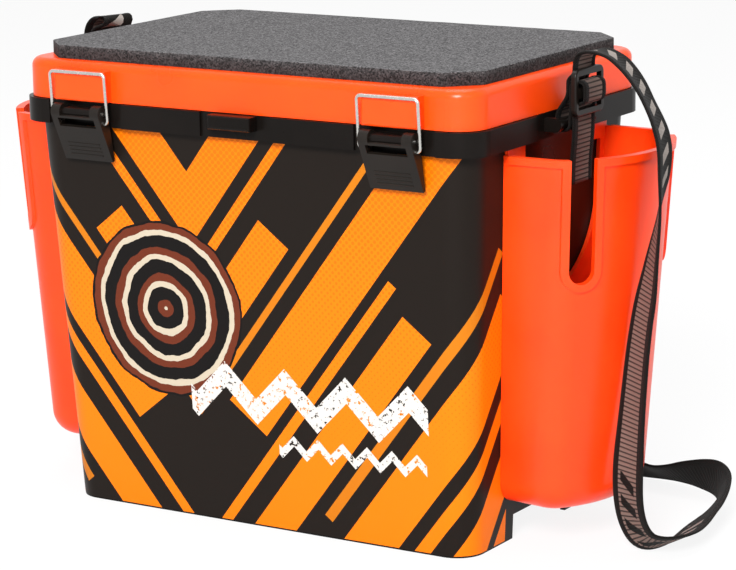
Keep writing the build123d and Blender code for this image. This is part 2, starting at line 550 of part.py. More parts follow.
# Lofted in short lengths, each of which bends less than a right angle.
with BuildPart() as strap:
    for first in range(0, len(sections) - 1, 2):
        loft(sections[first:first + 3], ruled=True)
save(strap, "strap")
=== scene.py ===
# %% [markdown]
# An ice fishing box that is also a seat: a black tub with a printed front, an orange lid with a foam pad,
# two wire latches, an orange pocket at each end and a shoulder strap. The moulded pieces come from the CAD
# model. This lesson dresses them, and makes the pieces that a solid model can't show well: webbing, foam
# and print. First the CAD model is loaded as a fixed frame, in metres.

# %% Load the frame
import math

import bpy
from mathutils import Matrix, Vector, noise


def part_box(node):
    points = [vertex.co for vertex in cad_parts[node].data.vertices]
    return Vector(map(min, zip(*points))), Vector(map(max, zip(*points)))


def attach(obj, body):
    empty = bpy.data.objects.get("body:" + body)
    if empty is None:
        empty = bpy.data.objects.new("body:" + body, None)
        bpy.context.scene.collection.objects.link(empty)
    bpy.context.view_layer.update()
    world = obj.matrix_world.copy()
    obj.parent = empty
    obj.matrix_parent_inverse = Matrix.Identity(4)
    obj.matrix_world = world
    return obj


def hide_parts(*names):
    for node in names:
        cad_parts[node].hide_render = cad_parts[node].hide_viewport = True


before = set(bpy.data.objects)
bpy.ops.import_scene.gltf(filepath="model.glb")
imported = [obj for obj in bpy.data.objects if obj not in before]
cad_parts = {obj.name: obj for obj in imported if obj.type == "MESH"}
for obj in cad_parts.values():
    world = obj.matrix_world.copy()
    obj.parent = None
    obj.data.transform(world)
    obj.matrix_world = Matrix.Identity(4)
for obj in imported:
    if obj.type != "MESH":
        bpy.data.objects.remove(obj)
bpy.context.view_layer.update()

MM = 0.001
print("CAD nodes:", sorted(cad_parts))

# %% [markdown]
# The camera stands where the photograph was taken from: to the right of the latch side and a little above
# the lid, with a long lens. It could be aimed with a Track To constraint. A matrix built from three angles
# is used instead, because the slight roll of the picture is then one number.

# %% Camera
VIEW_AZIMUTH, VIEW_PITCH, VIEW_ROLL = math.radians(31.9), math.radians(12.3), math.radians(-0.8)
VIEW_TARGET, VIEW_DISTANCE = Vector((22.1, 0, 126.9)) * MM, 1695.8 * MM

level = math.cos(VIEW_PITCH)
back = Vector((math.sin(VIEW_AZIMUTH) * level, -math.cos(VIEW_AZIMUTH) * level, math.sin(VIEW_PITCH)))
right = Vector((math.cos(VIEW_AZIMUTH), math.sin(VIEW_AZIMUTH), 0))
turn = Matrix((right, back.cross(right), back)).transposed() @ Matrix.Rotation(VIEW_ROLL, 3, "Z")

camera = bpy.data.objects.new("camera", bpy.data.cameras.new("camera"))
camera.data.sensor_fit = "HORIZONTAL"
camera.data.sensor_width = 36
camera.data.lens = 143.95
camera.matrix_world = Matrix.Translation(VIEW_TARGET + back * VIEW_DISTANCE) @ turn.to_4x4()
bpy.context.scene.collection.objects.link(camera)
bpy.context.scene.camera = camera
print("camera at", [round(c, 3) for c in camera.matrix_world.translation])

# %% [markdown]
# The shoulder strap is one length of 25 mm webbing. Each end hangs as a short tail, threads the buckle and
# goes round the bar on the collar. The stretch between them arches off the right buckle, twists over,
# hangs beside the pocket, lies on the floor behind the box and climbs to the left buckle. A curve with a
# bevel would make a tube, so the points below are control points of a NURBS spline, and a flat mesh
# follows it. Each point of the free stretch has the direction across the webbing, so the twist is drawn.

# %% Route of the strap, in millimetres
TAIL_TO_BUCKLE = [
    (160, 199), (160, 206), (160.4, 213), (161.2, 221), (161.8, 229), (161.8, 235.5), (161.8, 241.4),
    (163.4, 243.6), (166.6, 243.6), (168.5, 245.6), (168.5, 249.6), (168.5, 253.6), (166.6, 255.6),
    (162.2, 255.6), (159.9, 254.2), (159.9, 248), (159.9, 240), (159.3, 236), (159.1, 228.5), (151.1, 228.5),
    (151.1, 238), (154.8, 243.2), (158, 248), (158, 253.5), (158, 256.8), (161.6, 259.8), (161.8, 262),
]
FREE_STRETCH = [
    ((161.8, 0, 264), (0, 1, 0)), ((162.3, 0, 267.8), (0, 1, 0)), ((164.8, 0, 270.9), (0.03, 1, -0.02)),
    ((170.5, 0, 271.9), (0.07, 1, -0.05)), ((177, -0.5, 270.8), (0.05, 0.99, -0.1)),
    ((184, -1, 268), (0.04, 0.98, -0.17)), ((194.4, -3, 259.2), (0, 0.97, -0.26)),
    ((202.5, -6, 249.4), (-0.05, 0.93, -0.35)), ((208.5, -8.5, 241.8), (-0.05, 0.94, -0.33)),
    ((213.6, -11, 234.2), (-0.05, 0.95, -0.32)), ((217.8, -14, 223), (-0.14, 0.96, -0.23)),
    ((218.4, -16, 210.8), (-0.21, 0.96, -0.16)), ((218, -17.5, 202), (-0.33, 0.93, -0.13)),
    ((217.6, -18.5, 194.3), (-0.43, 0.9, -0.08)), ((216.9, -19, 185), (-0.48, 0.88, 0)),
    ((214.6, -20, 169.8), (-0.59, 0.8, 0.04)), ((212.4, -21, 153.4), (-0.71, 0.7, 0.04)),
    ((210.9, -22, 142.5), (-0.77, 0.63, 0.05)), ((209.3, -23, 131.5), (-0.79, 0.62, 0.06)),
    ((207.5, -24, 114.9), (-0.81, 0.58, 0.04)), ((206.3, -25, 98.4), (-0.84, 0.55, 0.01)),
    ((205.3, -26, 81.8), (-0.86, 0.52, 0.02)), ((204.4, -27, 65.1), (-0.89, 0.46, 0.01)),
    ((203.7, -28, 48.4), (-0.92, 0.39, 0)), ((204.1, -28.5, 31.6), (-0.91, 0.4, -0.1)),
    ((206.4, -27.5, 18.5), (-0.88, 0.41, -0.23)), ((211.2, -25.2, 9.2), (-0.8, 0.43, -0.4)),
    ((217.8, -21.2, 6.8), (-0.78, 0.4, -0.48)), ((222.6, -13, 6.6), (-0.85, 0.22, -0.47)),
    ((224.4, -3, 6.4), (-0.88, 0.05, -0.45)), ((223.4, 10, 6.6), (-0.87, -0.08, -0.48)),
    ((221, 25, 7.4), (-0.84, -0.07, -0.54)), ((219.5, 39.7, 8.4), (-0.8, -0.03, -0.6)),
    ((217.5, 56, 10.2), (-0.64, -0.11, -0.76)), ((213.4, 73.5, 12), (-0.4, -0.05, -0.9)),
    ((205.8, 86.4, 12.9), (-0.09, 0.02, -1)), ((194, 94.8, 12.2), (0.1, 0.4, -0.91)),
    ((181.5, 98.2, 11), (0, 0.64, -0.77)), ((169, 100, 9.2), (0, 0.82, -0.57)),
    ((156, 102, 8.2), (0.05, 0.86, -0.5)), ((138, 106, 10.6), (0, 0.6, -0.8)),
    ((100, 111, 12.6), (0, 0.3, -0.95)),
    ((50, 114, 12.8), (0, 0.2, -0.98)), ((-30, 115, 12.8), (0, 0.2, -0.98)),
    ((-90, 114, 13), (0, 0.2, -0.98)),
    ((-130, 112, 18), (-0.3, 0.6, -0.7)), ((-161, 107, 42), (-0.3, 0.94, -0.05)),
    ((-182, 97, 84), (-0.1, 0.98, 0.1)), ((-199, 84, 135), (0.1, 0.95, 0.28)),
    ((-207, 69, 178), (0.2, 0.92, 0.35)), ((-207, 51, 213), (0.28, 0.88, 0.38)),
    ((-202, 40, 227), (0.36, 0.85, 0.38)), ((-193, 29.5, 237), (0.42, 0.85, 0.3)),
    ((-183, 21, 244.5), (0.44, 0.87, 0.2)), ((-175.8, 15.4, 251.5), (0.44, 0.88, 0.12)),
    ((-171.6, 11.4, 259.5), (0.42, 0.9, 0.06)), ((-168, 8.2, 266.8), (0.4, 0.91, 0.03)),
    ((-162.6, 5.8, 271.4), (0.38, 0.92, 0.02)), ((-157.6, 4, 272.8), (0.36, 0.93, 0)),
    ((-154.6, 3, 271.5), (0.28, 0.95, -0.05)), ((-154.2, 2.3, 269), (0.1, 0.97, -0.18)),
    ((-156.4, 1.4, 267.3), (0, 0.99, -0.12)), ((-159.2, 0.5, 266.9), (-0.06, 1, -0.04)),
    ((-161.3, 0.1, 265.4), (0, 1, 0)), ((-161.8, 0, 263.5), (0, 1, 0)),
]
right_end = [(Vector((x, 0, z)), Vector((0, 1, 0))) for x, z in TAIL_TO_BUCKLE]
middle = [(Vector(point), Vector(across).normalized()) for point, across in FREE_STRETCH]
left_end = [(Vector((-x, 0, z)), Vector((0, 1, 0))) for x, z in reversed(TAIL_TO_BUCKLE)]
route = right_end + middle + left_end
print("strap route:", len(route), "control points")


# %% Read points off the NURBS spline
def spline_points(name, controls):
    """Points along a NURBS spline with these control points, as Blender draws it."""
    curve = bpy.data.curves.new(name, "CURVE")
    curve.dimensions = "3D"
    spline = curve.splines.new("NURBS")
    spline.points.add(len(controls) - 1)
    for point, control in zip(spline.points, controls):
        point.co = (*control, 1)
    spline.order_u = 3
    spline.use_endpoint_u = True
    spline.resolution_u = 16
    line = bpy.data.objects.new(name, curve)
    mesh = bpy.data.meshes.new_from_object(line)
    points = [v.co.copy() for v in mesh.vertices]
    bpy.data.objects.remove(line)
    bpy.data.curves.remove(curve)
    bpy.data.meshes.remove(mesh)
    return points


line = spline_points("strap_line", [point for point, _ in route])
edge = spline_points("strap_edge", [point + across for point, across in route])
STATION_GAP = 1.2
stations = [(line[0], edge[0] - line[0])]
for point, rim in zip(line, edge):
    if (point - stations[-1][0]).length > STATION_GAP:
        stations.append((point, rim - point))

# %% [markdown]
# The webbing's cross-section is a flat band with a thicker woven edge, the selvage, on each side. A plane
# with a Solidify modifier would give square edges, so the section is drawn as a closed outline and swept
# by hand. Every point also stores how far along, how far across and on which face it is, in millimetres,
# because the weave is drawn from these numbers and then follows the band through its twist.

# %% Sweep the webbing
WEB_WIDE, WEB_THICK, SELVAGE = 25.0, 1.6, 3.4
half, thick, inner = WEB_WIDE / 2, WEB_THICK / 2, WEB_WIDE / 2 - SELVAGE
upper = [(-half, 0.1), (-half + 0.3, 0.55), (-half + 1, thick), (-inner - 0.4, thick)]
upper += [(-inner, thick * 0.8), (0, thick * 0.8)]
upper += [(-across, rise) for across, rise in reversed(upper[:-1])]
section = upper + [(-across, -rise) for across, rise in upper]
FLOOR_CLEARANCE = 0.3

verts, marks, centre_line = [], [], []
run = 0.0
for i, (point, across) in enumerate(stations):
    ahead = (stations[min(i + 1, len(stations) - 1)][0] - stations[max(i - 1, 0)][0]).normalized()
    across = (across - ahead * across.dot(ahead)).normalized()
    normal = ahead.cross(across)
    ring = [point + across * a + normal * r for a, r in section]
    lift = max(0, FLOOR_CLEARANCE - min(v.z for v in ring))
    ring = [v + Vector((0, 0, lift)) for v in ring]
    run += (point - stations[max(i - 1, 0)][0]).length
    verts += [v * MM for v in ring]
    marks += [(run, a, 1 if r > 0 else -1) for a, r in section]
    centre_line.append((point + Vector((0, 0, lift))) * MM)


def quads(rows, count, closed):
    """Four-cornered faces between neighbouring rows of points, each row closed to a ring or left open."""
    found = []
    for r in range(rows - 1):
        for k in range(count if closed else count - 1):
            n = (k + 1) % count
            found.append((r * count + k, r * count + n, (r + 1) * count + n, (r + 1) * count + k))
    return found


def capped(rows, count):
    """The faces of a tube of rings, with a cap at each end."""
    first_cap = tuple(reversed(range(count)))
    last_cap = tuple((rows - 1) * count + k for k in range(count))
    return quads(rows, count, closed=True) + [first_cap, last_cap]


def add_piece(name, verts, faces, body):
    """A mesh object that moves with a body of the frame."""
    mesh = bpy.data.meshes.new(name)
    mesh.from_pydata(verts, [], faces)
    mesh.shade_smooth()
    piece = bpy.data.objects.new(name, mesh)
    bpy.context.scene.collection.objects.link(piece)
    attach(piece, body)
    return piece


def store(piece, name, values):
    """Keeps one vector for each point of a piece, for its material to read."""
    layer = piece.data.attributes.new(name, "FLOAT_VECTOR", "POINT")
    for item, value in zip(layer.data, values):
        item.vector = value


strap = add_piece("strap_webbing", verts, capped(len(stations), len(section)), "box")
store(strap, "web_mm", marks)
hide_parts("strap", "strap_end_left", "strap_end_right")
print("webbing mesh:", len(verts), "points")

# %% [markdown]
# The seat pad is a sheet of closed-cell foam, cut with a blade and glued to the lid. Its corners are cut
# off, its sides are upright and its top edge is crisp, with only a slight wave. A cube with a bevel would
# look machined, so the pad is built from rings that follow the cut outline: up the side, over the edge and
# in towards the middle, each point moved a little by noise, because foam is never quite flat.

# %% Foam seat pad
pad_low, pad_high = (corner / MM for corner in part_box("seat_pad"))
PAD_CUT, PAD_SOFT, EDGE_SOFT, PAD_SEAT = 17.0, 4.0, 0.5, 0.05
ARC_STEPS, POINT_GAP, TOP_RINGS, WAVE_SCALE, WAVE_HIGH = 6, 4.0, 22, 0.06, 0.15
EDGE_BEND, CREASE_ANGLE = 0.3, math.radians(30)
half_x, half_y = pad_high.x, pad_high.y
corners = []
for sx, sy in ((1, -1), (1, 1), (-1, 1), (-1, -1)):
    pair = [(sx * (half_x - PAD_CUT), sy * half_y), (sx * half_x, sy * (half_y - PAD_CUT))]
    corners += pair if sx * sy < 0 else reversed(pair)


def rounded_outline(corners, radius, steps):
    """The corners of a flat outline, each turned into a small arc."""
    outline = []
    for i, corner in enumerate(corners):
        here = Vector(corner)
        before = (Vector(corners[i - 1]) - here).normalized()
        after = (Vector(corners[(i + 1) % len(corners)]) - here).normalized()
        reach = radius * math.tan((math.pi - before.angle(after)) / 2)
        for k in range(steps + 1):
            t = k / steps
            outline.append(here + before * reach * (1 - t) ** 2 + after * reach * t**2)
    return outline


def filled_in(outline, gap):
    """More points on the straight parts of an outline, so that noise can move them."""
    dense = []
    for i, point in enumerate(outline):
        step = outline[(i + 1) % len(outline)] - point
        parts = max(1, round(step.length / gap))
        dense += [point + step * k / parts for k in range(parts)]
    return dense


outline = filled_in(rounded_outline(corners, PAD_SOFT, ARC_STEPS), POINT_GAP)
side = [(0, pad_low.z + PAD_SEAT), (0, (pad_low.z + pad_high.z) / 2), (0, pad_high.z - EDGE_SOFT)]
side += [(EDGE_SOFT * EDGE_BEND, pad_high.z - EDGE_SOFT * EDGE_BEND), (EDGE_SOFT, pad_high.z)]
verts = []
rings = [(1, inset, z) for inset, z in side]
rings += [(1 - k / TOP_RINGS, EDGE_SOFT, pad_high.z) for k in range(1, TOP_RINGS)]
for share, inset, z in rings:
    for point in outline:
        flat = point * share - point.normalized() * inset
        wobble = noise.noise(Vector((*flat, z)) * WAVE_SCALE) * WAVE_HIGH
        out = Vector((*point.normalized(), 0)) * wobble * (share == 1)
        dip = Vector((0, 0, abs(wobble) * (z > pad_high.z - EDGE_SOFT)))
        verts.append((Vector((*flat, z)) + out - dip) * MM)
pad = add_piece("foam_seat_pad", verts, capped(len(rings), len(outline)), "lid")
pad.data.set_sharp_from_angle(angle=CREASE_ANGLE)
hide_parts("seat_pad")
print("seat pad:", len(verts), "points,", round(pad_high.z - pad_low.z, 1), "mm thick")

# %% [markdown]
# The printed front is a film that is laid in the mould, so that it lies flush in the tub's front wall,
# turns both front corners and ends behind the pockets. Painting the tub's own faces would need a texture
# that knows where the front is. A thin skin just off the wall is easier: it follows the same taper and
# corners, and each point stores its place on the flat sheet, in millimetres from the middle of the lower
# edge.

# %% Printed film on the front wall
BASE_X, BASE_Y, BASE_R = 267.6, 160.0, 16.0
TOP_X, TOP_Y, TOP_R = 288.0, 188.0, 18.0
WALL_TOP_Z, FILM_LOW_Z, FILM_HIGH_Z, FILM_OUT = 225.0, 1.0, 224.6, 0.12
FILM_END_Y = -40.0
ROWS, FRONT_COLUMNS, CORNER_COLUMNS, SIDE_COLUMNS = 12, 24, 10, 4


def film_row(z):
    """The film's points at a height, from left to right: x, y and the distance along the sheet."""
    share = z / WALL_TOP_Z
    half_long = (BASE_X + (TOP_X - BASE_X) * share) / 2
    half_wide = (BASE_Y + (TOP_Y - BASE_Y) * share) / 2
    corner = BASE_R + (TOP_R - BASE_R) * share
    straight = half_long - corner
    row = []
    for k in range(CORNER_COLUMNS + 1):
        angle = math.pi / 2 * k / CORNER_COLUMNS
        out = corner + FILM_OUT
        x, y = straight + out * math.sin(angle), corner - half_wide - out * math.cos(angle)
        row.append((x, y, straight + corner * angle))
    x, y, start = row[-1]
    for k in range(1, SIDE_COLUMNS + 1):
        step = (FILM_END_Y - y) * k / SIDE_COLUMNS
        row.append((x, y + step, start + step))
    left = [(-x, y, -s) for x, y, s in reversed(row)]
    between = [-straight + 2 * straight * k / FRONT_COLUMNS for k in range(1, FRONT_COLUMNS)]
    front = [(x, -half_wide - FILM_OUT, x) for x in between]
    return left + front + row


verts, sheet = [], []
for r in range(ROWS + 1):
    z = FILM_LOW_Z + (FILM_HIGH_Z - FILM_LOW_Z) * r / ROWS
    row = film_row(z)
    verts += [Vector((x, y, z)) * MM for x, y, _ in row]
    sheet += [(s, z, 0) for _, _, s in row]
film_faces = quads(ROWS + 1, len(row), closed=False)
film = add_piece("printed_front_film", verts, film_faces, "box")
store(film, "sheet_mm", sheet)
print("printed film:", round(2 * max(s for s, _, _ in sheet)), "mm round the front")

# %% [markdown]
# Every finish is a node material. A few small tools are enough. One turns a colour written as a hex value
# into the linear numbers that a shader works with, and one adds a node with its settings and links. Others
# write a step of arithmetic, a mix of colours, a noise or a relief on one line, and give places in
# millimetres, so that patterns have real sizes. The last two start a material and put it on.

# %% Tools for materials
def linear(code):
    """An sRGB hex colour as linear red, green, blue and alpha."""
    parts = [int(code[i:i + 2], 16) / 255 for i in (1, 3, 5)]
    return tuple(p / 12.92 if p <= 0.04045 else ((p + 0.055) / 1.055) ** 2.4 for p in parts) + (1.0,)


def add(tree, kind, inputs, **settings):
    """Adds a node. Each input is a number, a colour or another node's output."""
    node = tree.nodes.new(kind)
    for name, value in settings.items():
        setattr(node, name, value)
    for name, value in inputs.items():
        if isinstance(value, bpy.types.NodeSocket):
            tree.links.new(value, node.inputs[name])
        else:
            node.inputs[name].default_value = value
    return node


def reckon(tree, operation, *values):
    """One step of arithmetic, on numbers or on other nodes' outputs."""
    return add(tree, "ShaderNodeMath", dict(enumerate(values)), operation=operation).outputs[0]


def mixed(tree, share, first, second):
    """A colour that goes from the first to the second as the share goes from 0 to 1."""
    colours = {"Factor": share, 6: first, 7: second}
    return add(tree, "ShaderNodeMix", colours, data_type="RGBA").outputs[2]


def rescaled(tree, value, low=0.0, high=1.0, least=0.0, most=1.0):
    """A number between low and high, moved to between least and most."""
    limits = {"Value": value, 1: low, 2: high, 3: least, 4: most}
    return add(tree, "ShaderNodeMapRange", limits).outputs[0]


def mottle(tree, place, size_mm, detail, roughness=0.5, dimensions="3D"):
    """Noise from 0 to 1, with patches of about this size."""
    pattern = {"Vector": place, "Scale": 1 / size_mm, "Detail": detail, "Roughness": roughness}
    return add(tree, "ShaderNodeTexNoise", pattern, noise_dimensions=dimensions).outputs["Fac"]


def emboss(tree, shader, height, strength, deep_mm, sunk=False):
    """Gives a shader a relief that follows a height."""
    bump = {"Height": height, "Strength": strength, "Distance": deep_mm * MM}
    relief = add(tree, "ShaderNodeBump", bump, invert=sunk)
    tree.links.new(relief.outputs[0], shader.inputs["Normal"])


def place_mm(tree):
    """The place on a piece in millimetres."""
    place = add(tree, "ShaderNodeTexCoord", {}).outputs["Object"]
    return add(tree, "ShaderNodeVectorMath", {0: place, "Scale": 1 / MM}, operation="SCALE").outputs[0]


def start_material(name):
    """A new node material: the material, its node tree and its shader."""
    material = bpy.data.materials.new(name)
    material.use_nodes = True
    return material, material.node_tree, material.node_tree.nodes["Principled BSDF"]


def dress(names, material):
    """Gives CAD nodes or pieces one material."""
    for name in names:
        mesh = bpy.data.objects[name].data
        mesh.materials.clear()
        mesh.materials.append(material)
    print(material.name, "on", ", ".join(names))


# %% [markdown]
# Injection-moulded polypropylene takes its surface from the mould: a fine spark-eroded grain on the black
# tub and a polished face on the orange lid and pockets. The eye sees a broad soft highlight that breaks up
# slightly, never a flat colour, and the thin orange walls let some red light through, so the pockets glow
# inside. Noise moves the roughness, a finer noise makes the grain as a bump, and subsurface scattering
# carries the light. The real grain of about 0.2 mm is too fine for the picture, so it is drawn at 0.8 mm.

# %% Moulded polypropylene
GRAIN_MM, GRAIN_DEEP_MM, FLOW_MM, GLOSS_SPREAD = 0.8, 0.05, 45.0, 0.2


def moulded(name, base, worn, gloss, grain, shine, depth):
    """Moulded plastic: two close shades that drift with the melt, and light let in by depth."""
    material, tree, shader = start_material(name)
    mm = place_mm(tree)
    flow = mottle(tree, mm, FLOW_MM, detail=3.0)
    fine = mottle(tree, mm, GRAIN_MM, detail=2.0)
    drift = rescaled(tree, flow, low=0.35, high=0.65)
    tree.links.new(mixed(tree, drift, linear(base), linear(worn)), shader.inputs["Base Color"])
    blur = reckon(tree, "MULTIPLY_ADD", flow, GLOSS_SPREAD, gloss - GLOSS_SPREAD / 2)
    tree.links.new(blur, shader.inputs["Roughness"])
    emboss(tree, shader, fine, strength=grain, deep_mm=GRAIN_DEEP_MM)
    shader.inputs["IOR"].default_value = 1.49
    shader.inputs["Specular IOR Level"].default_value = shine
    shader.inputs["Subsurface Weight"].default_value = depth
    shader.inputs["Subsurface Radius"].default_value = (1.0, 0.22, 0.08)
    shader.inputs["Subsurface Scale"].default_value = 4 * MM
    return material


black_tub = moulded("moulded_black_polypropylene_grained", "#0e0b09", "#130f0d", 0.3, 0.25, 0.1, 0.0)
orange_lid = moulded("moulded_orange_polypropylene_polished", "#f64304", "#fb4807", 0.3, 0.12, 0.3, 0.1)
orange_pocket = moulded("moulded_orange_polypropylene_satin", "#f83b06", "#fd4109", 0.34, 0.15, 0.3, 0.2)
black_latch = moulded("moulded_black_nylon", "#14100d", "#1a1511", 0.38, 0.3, 0.2, 0.0)
dress(["body_tub"], black_tub)
dress(["lid_shell"], orange_lid)
dress(["pocket_left", "pocket_right"], orange_pocket)
dress(["latch_lever_left", "latch_lever_right", "buckle_left", "buckle_right"], black_latch)

# %% [markdown]
# The bails, pins and screws are steel: bright drawn wire, bent cold. Metal keeps the shader's own index of
# refraction. The eye sees sharp streaks of light along the wire, broken by faint marks of the drawing die.
# A fine noise that varies both the shade and the roughness is enough for wire as thin as this.

# %% Steel
steel, tree, shader = start_material("drawn_steel_wire_plated")
mm = place_mm(tree)
DIE_MARK_MM = 1.5
marks_of_die = mottle(tree, mm, DIE_MARK_MM, detail=4.0)
blur = rescaled(tree, marks_of_die, least=0.18, most=0.34)
shine = mixed(tree, marks_of_die, linear("#b9b7b2"), linear("#d6d4cf"))
tree.links.new(shine, shader.inputs["Base Color"])
tree.links.new(blur, shader.inputs["Roughness"])
shader.inputs["Metallic"].default_value = 1.0
fasteners = ["hinge_pin", "latch_pin", "latch_bail", "pocket_screws"]
dress([f"{name}_{side}" for name in fasteners for side in ("left", "right")], steel)

# %% [markdown]
# The pad is closed-cell polyethylene foam, dark grey with paler and darker cells. A blade cut it, so the
# cells are open on the surface: the eye sees a matt, gritty speckle. Voronoi cells give both the speckle
# and the pits. The upright cut is darker than the top: painted shade for light that falls from above, so
# the surface's own direction picks between two greys. Real cells are about 0.4 mm, drawn here at 0.8 mm
# so that they show.

# %% Foam
CELL_MM, GRIT_MM = 0.8, 1.6
foam, tree, shader = start_material("cut_closed_cell_polyethylene_foam")
mm = place_mm(tree)
cells = add(tree, "ShaderNodeTexVoronoi", {"Vector": mm, "Scale": 1 / CELL_MM})
grit = mottle(tree, mm, GRIT_MM, detail=4.0, roughness=0.7)
cell_shade = add(tree, "ShaderNodeSeparateColor", {"Color": cells.outputs["Color"]}).outputs[0]
speckle = reckon(tree, "MULTIPLY", cell_shade, grit)
tone = rescaled(tree, speckle, low=0.05, high=0.6)
on_top = mixed(tree, tone, linear("#323132"), linear("#7e7c7d"))
# The cut sides take darker greys than the top: painted shade, picked by which way the surface faces.
cut_grey_painted_shade = mixed(tree, tone, linear("#171515"), linear("#443f3f"))
facing = add(tree, "ShaderNodeNewGeometry", {}).outputs["Normal"]
painted_shade_by_facing = add(tree, "ShaderNodeSeparateXYZ", {0: facing}).outputs[2]
tree.links.new(mixed(tree, painted_shade_by_facing, cut_grey_painted_shade, on_top), shader.inputs["Base Color"])
emboss(tree, shader, cells.outputs["Distance"], strength=0.35, deep_mm=0.25, sunk=True)
shader.inputs["Roughness"].default_value = 0.95
shader.inputs["Specular IOR Level"].default_value = 0.2
dress(["foam_seat_pad"], foam)

# %% [markdown]
# The strap is woven polyester. Its reverse shows a ladder of grey weft rungs between black edges, and its
# face is black with a woven pattern of grey slanting dashes, which appears in negative on the reverse, as
# in any two-colour weave. The numbers stored along the band place it all: rungs every 2.5 mm, groups of
# dashes every 250 mm, and a twill of 1.2 mm on the black parts, which is coarser than the real thread.

# %% Woven webbing
RUNG_MM, TWILL_MM, GROUP_MM, GROUP_START, GROUP_LONG = 2.5, 1.2, 250.0, 150.0, 92.0
DASH_MM, DASH_SHARE, DASH_HALF, LADDER_HALF, SLANT = 13.0, 0.45, 5.6, 7.6, 0.7
webbing, tree, shader = start_material("woven_polyester_webbing")
web = add(tree, "ShaderNodeAttribute", {}, attribute_name="web_mm").outputs["Vector"]
parts = add(tree, "ShaderNodeSeparateXYZ", {0: web}).outputs
along, across, face = parts[0], parts[1], parts[2]
offset = reckon(tree, "ABSOLUTE", across)
core = reckon(tree, "LESS_THAN", offset, LADDER_HALF)
wave = reckon(tree, "MULTIPLY", along, 2 * math.pi / RUNG_MM)
rung = reckon(tree, "SINE", wave)
rung_share = rescaled(tree, rung, low=-0.95, high=-0.1)
ladder = mixed(tree, rung_share, linear("#2a2320"), linear("#6e5c55"))
lean = reckon(tree, "MULTIPLY_ADD", across, SLANT, along)
group = reckon(tree, "ADD", along, GROUP_MM - GROUP_START)
group_run = reckon(tree, "MODULO", group, GROUP_MM)
in_group = reckon(tree, "LESS_THAN", group_run, GROUP_LONG)
dash_run = reckon(tree, "MODULO", lean, DASH_MM)
dash = reckon(tree, "LESS_THAN", dash_run, DASH_MM * DASH_SHARE)
short = reckon(tree, "LESS_THAN", offset, DASH_HALF)
dash = reckon(tree, "MULTIPLY", dash, short)
dash = reckon(tree, "MULTIPLY", dash, in_group)
twill_wave = reckon(tree, "MULTIPLY", lean, 2 * math.pi / TWILL_MM)
twill = reckon(tree, "SINE", twill_wave)
twill_share = rescaled(tree, twill, low=-1.0, high=1.0)
black = mixed(tree, twill_share, linear("#080706"), linear("#151210"))
front = mixed(tree, dash, black, linear("#8f8781"))
reverse = mixed(tree, core, black, mixed(tree, dash, ladder, black))
is_front = reckon(tree, "GREATER_THAN", face, 0.0)
tree.links.new(mixed(tree, is_front, reverse, front), shader.inputs["Base Color"])
ribs = add(tree, "ShaderNodeMix", {"Factor": core, 2: twill_share, 3: rung_share}).outputs[0]
emboss(tree, shader, ribs, strength=0.6, deep_mm=0.3)
shader.inputs["Roughness"].default_value = 0.75
shader.inputs["Specular IOR Level"].default_value = 0.1
shader.inputs["Sheen Weight"].default_value = 0.02
dress(["strap_webbing"], webbing)

# %% [markdown]
# The print on the front is drawn with plain arithmetic on the sheet's millimetres. Folding the sheet about
# one upright line and then cutting slanting bands out of it gives nested arrows in amber. Dots that grow
# with height shade the amber, rings like ripples round a hole in the ice sit on the left, and two zigzag
# lines, chipped like worn print, cross the lower half. Each layer is a mask that mixes one more colour
# over the last.

# %% Printed film
print_film, tree, shader = start_material("printed_polypropylene_film")
sheet_mm = add(tree, "ShaderNodeAttribute", {}, attribute_name="sheet_mm").outputs["Vector"]
parts = add(tree, "ShaderNodeSeparateXYZ", {0: sheet_mm}).outputs
sheet_x, sheet_y = parts[0], parts[1]
FOLD_X = -38.0
shifted = reckon(tree, "SUBTRACT", sheet_x, FOLD_X)
folded = reckon(tree, "ABSOLUTE", shifted)
arrow = add(tree, "ShaderNodeCombineXYZ", {0: folded, 1: sheet_y}).outputs[0]
LEAN = math.radians(52)
crossways, lengthways = (-math.sin(LEAN), math.cos(LEAN), 0), (math.cos(LEAN), math.sin(LEAN), 0)
over = add(tree, "ShaderNodeVectorMath", {0: arrow, 1: crossways}, operation="DOT_PRODUCT")
down = add(tree, "ShaderNodeVectorMath", {0: arrow, 1: lengthways}, operation="DOT_PRODUCT")
band_at, band_run = over.outputs["Value"], down.outputs["Value"]

DOT_MM = 2.8
diagonal = {"Vector": sheet_mm, "Rotation": (0, 0, math.pi / 4), "Scale": (1 / DOT_MM,) * 3}
grid = add(tree, "ShaderNodeMapping", diagonal).outputs[0]
regular = {"Vector": grid, "Scale": 1.0, "Randomness": 0.0}
dots = add(tree, "ShaderNodeTexVoronoi", regular, voronoi_dimensions="2D").outputs["Distance"]
dot_size = rescaled(tree, sheet_y, low=20.0, high=225.0, most=0.46)
dotted = reckon(tree, "LESS_THAN", dots, dot_size)
amber = mixed(tree, dotted, linear("#de7002"), linear("#ca6002"))

BANDS = [
    (112, 13, 40, 260, amber), (88, 3, 60, 300, amber), (62, 12, 10, 170, amber),
    (40, 2, 40, 250, "#b8690c"), (14, 15, 70, 300, amber), (-10, 3, 0, 200, amber),
    (-36, 11, 20, 190, amber), (-58, 3, 60, 260, "#b8690c"), (-86, 14, 0, 240, amber),
    (-112, 4, 0, 220, amber), (-136, 9, 0, 190, amber), (-160, 9, 0, 190, amber),
]
ink = linear("#17110d")
for centre, half_band, low, high, colour in BANDS:
    strip = reckon(tree, "COMPARE", band_at, centre, half_band)
    piece = reckon(tree, "COMPARE", band_run, (low + high) / 2, (high - low) / 2)
    mask = reckon(tree, "MULTIPLY", strip, piece)
    fill = linear(colour) if isinstance(colour, str) else colour
    ink = mixed(tree, mask, ink, fill)
print("print:", len(BANDS), "bands")

